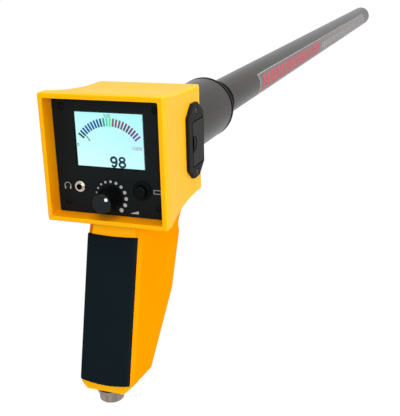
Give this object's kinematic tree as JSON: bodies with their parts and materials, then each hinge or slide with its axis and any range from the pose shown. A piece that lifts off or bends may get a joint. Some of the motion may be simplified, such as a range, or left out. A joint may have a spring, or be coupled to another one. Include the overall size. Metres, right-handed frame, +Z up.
{
  "type": "hand-held magnetometer",
  "caption": "Hand-held magnetic locator: moulded head with hooded display and controls on a raked pistol handle, and a long probe tube leaving the back of the head through a collar.",
  "frame": {"origin": "inside the grip, level with the middle of its pad and straight below the front face of the panel", "axes": "X to the operator's right, Y forward along the probe tube, Z up"},
  "size_m": [0.1042, 1.4254, 0.2528],
  "materials": {
    "yellow_shell": "smooth injection moulding, light satin",
    "black_panel": "fine matt screen-printed sheet",
    "black_plastic": "satin moulding",
    "gloss_black": "polished moulding",
    "white_paint": "white enamel filling",
    "window_clear": "clear cover sheet",
    "display_glass": "lit colour display",
    "foam": "closed-cell foam",
    "green_board": "solder resist on glass fibre",
    "steel": "zinc plated",
    "nickel": "nickel plated brass",
    "brass": "turned",
    "grey_plastic": "satin moulding",
    "battery_case": "lacquered steel sleeve",
    "dark_alloy": "dark satin anodised tube",
    "film": "printed film",
    "rubber": "moulded rubber",
    "grip_foam": "fine-grained soft pad",
    "coil_winding": "enamelled copper wire",
    "laminate": "glass fibre strip",
    "cable_grey": "insulated cable",
    "wire_red": "insulated wire",
    "ribbon": "flat ribbon"
  },
  "bodies": {
    "instrument": {"head_housing": "yellow_shell", "face_panel": "black_panel", "panel_screws": "steel", "display_window": "window_clear", "display_gasket": "foam", "display_module": "display_glass", "display_board": "green_board", "display_studs": "brass", "display_screws": "steel", "pot_body": "steel", "pot_nut": "nickel", "jack_socket": "nickel", "jack_nut": "nickel", "button_bezel": "black_plastic", "button_nut": "black_plastic", "button_spring": "steel", "battery_box": "grey_plastic", "battery_box_screws": "steel", "battery_contacts": "nickel", "main_board": "green_board", "board_standoffs": "brass", "board_screws": "steel", "buzzer": "black_plastic", "collar_tube": "dark_alloy", "collar_screws": "steel", "collar_end_ring": "dark_alloy", "tube_gland": "rubber", "tube_bush": "grey_plastic", "probe_tube": "dark_alloy", "probe_end_cap": "black_plastic", "tube_label_film": "film", "sensor_carrier": "laminate", "carrier_discs": "foam", "fluxgate_front": "coil_winding", "fluxgate_rear": "coil_winding", "sensor_cable": "cable_grey", "handle_shell": "yellow_shell", "handle_screws": "steel", "grip_pad": "grip_foam", "connector_gasket": "rubber", "connector_body": "nickel", "connector_insert": "black_plastic", "connector_pins": "brass", "connector_nut": "nickel", "connector_lead": "cable_grey", "battery_lead": "wire_red", "controls_lead": "cable_grey", "display_ribbon": "ribbon"},
    "knob": {"knob": "black_plastic", "knob_dot": "white_paint", "knob_grub_screw": "steel", "pot_shaft": "nickel"},
    "button": {"button_cap": "gloss_black"},
    "drawer": {"battery_drawer": "grey_plastic", "battery": "battery_case"}
  },
  "joints": [
    {"name": "knob_turn", "type": "hinge", "parent": "instrument", "child": "knob", "pos_m": [-0.001, 0, 0.0895], "axis": [0, 1, 0], "range_deg": [-189, 91]},
    {"name": "button_press", "type": "slide", "parent": "instrument", "child": "button", "axis": [0, 1, 0], "range_m": [0, 0.0018], "stiffness_N_per_m": 500, "springref_m": -0.002, "deforming": ["button_spring"]},
    {"name": "drawer_slide", "type": "slide", "parent": "instrument", "child": "drawer", "axis": [1, 0, 0], "range_m": [0, 0.048]}
  ]
}
